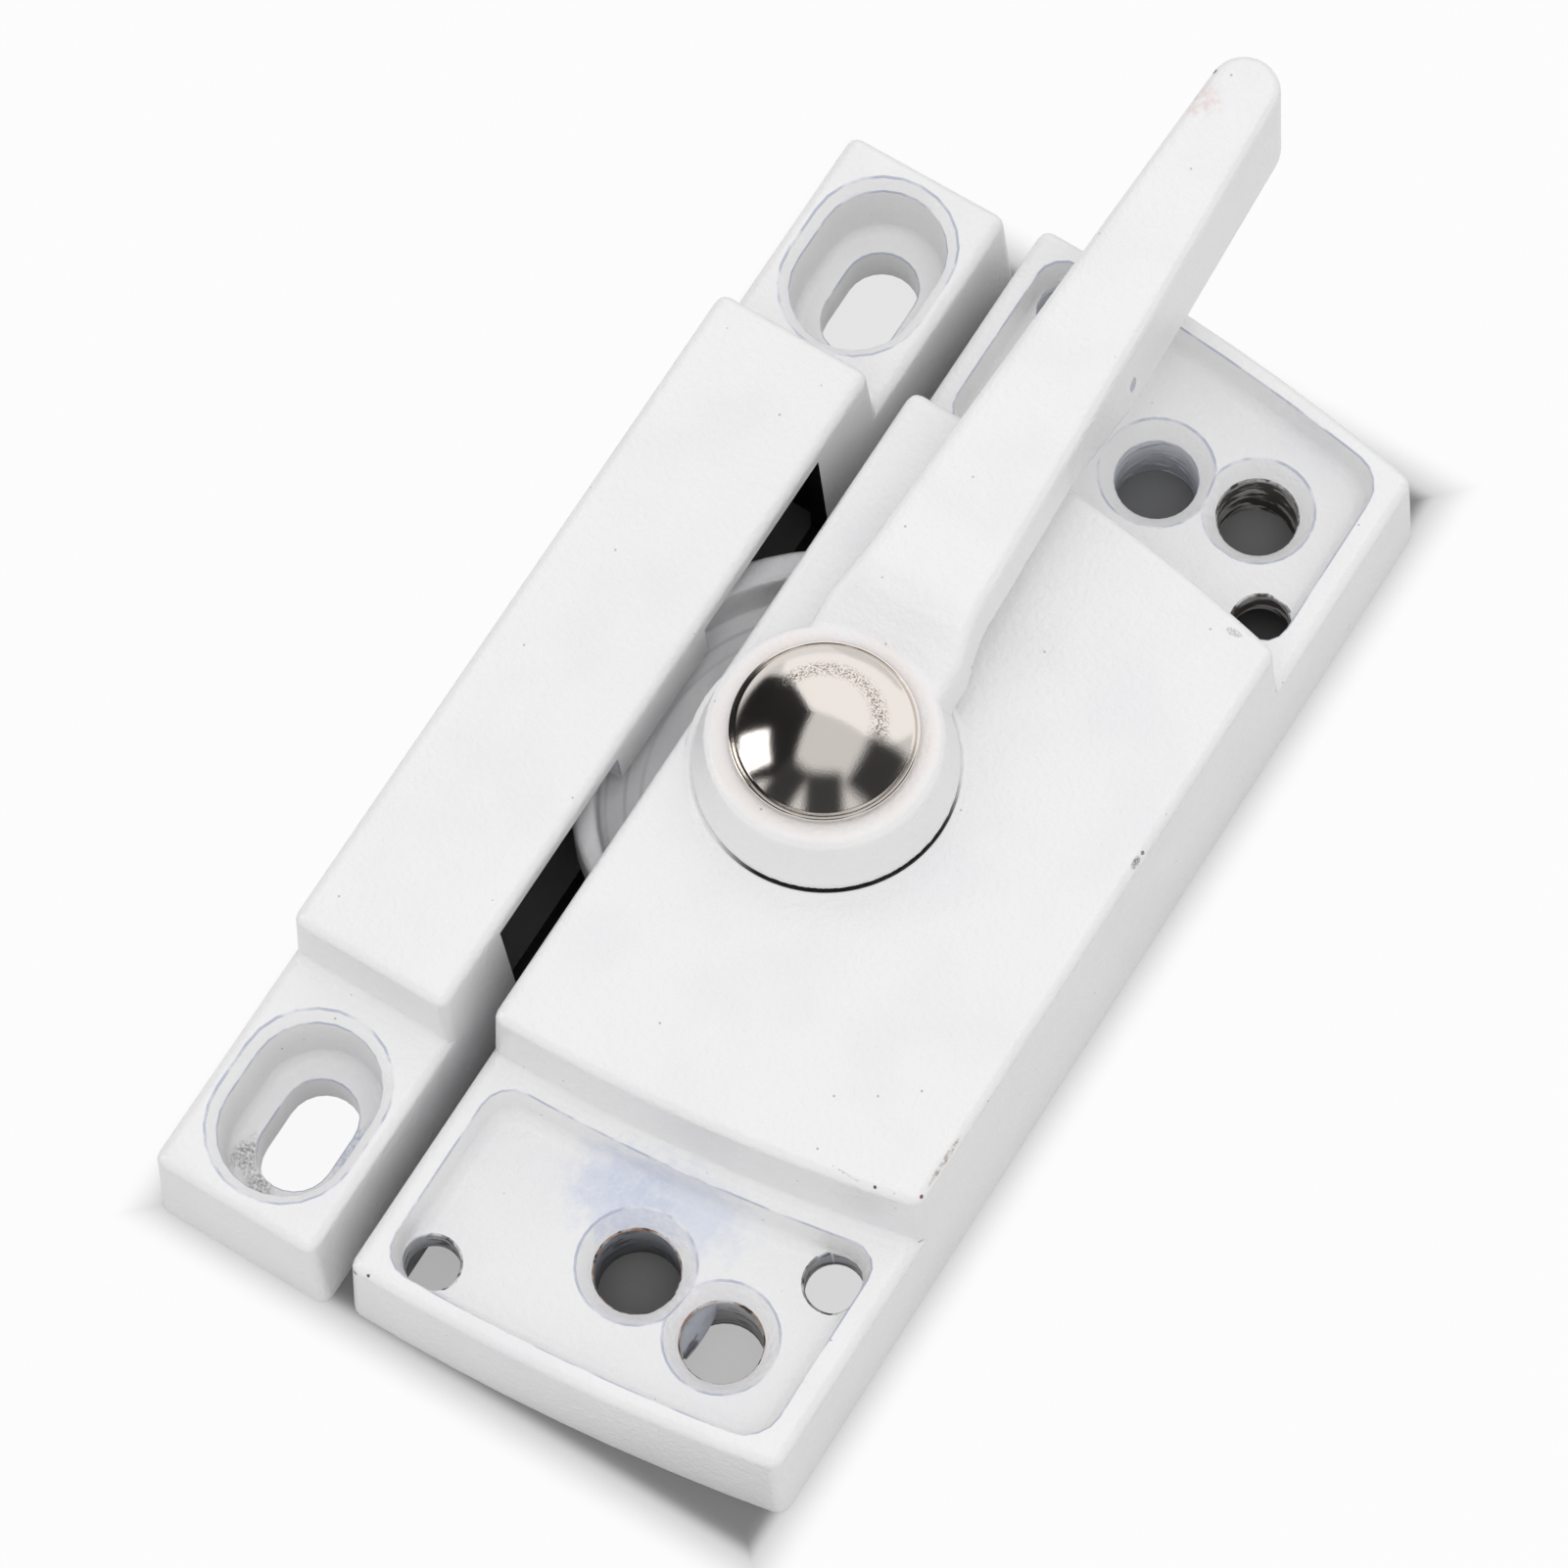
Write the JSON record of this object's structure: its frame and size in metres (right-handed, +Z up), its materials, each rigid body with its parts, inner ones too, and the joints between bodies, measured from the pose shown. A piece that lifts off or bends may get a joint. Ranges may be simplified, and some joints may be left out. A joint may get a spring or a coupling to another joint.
{
  "type": "sliding window lock with keeper",
  "caption": "White cast sweep lock for a sliding window, shown locked: a long thumb lever on a round hub turns a cam that hooks behind the lip of a hollow keeper beside it.",
  "frame": {"origin": "middle of the bounding box of the locked set, in the plane that both castings are screwed down on", "axes": "+X along the lock towards the tip of the lever, +Y from the lock towards the keeper, +Z up from the sash along the spindle"},
  "size_m": [0.0856, 0.04, 0.0218],
  "materials": {
    "white_powder_coat": "satin white powder coat on zinc die casting",
    "nickel_plate": "bright nickel plate",
    "zinc_plated_steel": "clear zinc plate",
    "spring_steel": "oiled spring steel",
    "black_nylon": "matt moulded nylon"
  },
  "bodies": {
    "lock": {"lock_housing": "white_powder_coat", "keeper_body": "white_powder_coat", "spindle_bush": "black_nylon", "hub_washer": "black_nylon", "wave_washer": "spring_steel", "detent_spring": "spring_steel", "detent_rivet_1": "zinc_plated_steel", "detent_rivet_2": "zinc_plated_steel"},
    "handle": {"handle_lever": "white_powder_coat", "hub_cap": "nickel_plate", "cam": "zinc_plated_steel", "spindle": "zinc_plated_steel", "spindle_screw": "zinc_plated_steel", "screw_washer": "zinc_plated_steel"}
  },
  "joints": [
    {"name": "handle_turn", "type": "hinge", "parent": "lock", "child": "handle", "pos_m": [-0.00468, -0.0014, 0.0147], "axis": [0, 0, -1], "range_deg": [0, 180]}
  ]
}
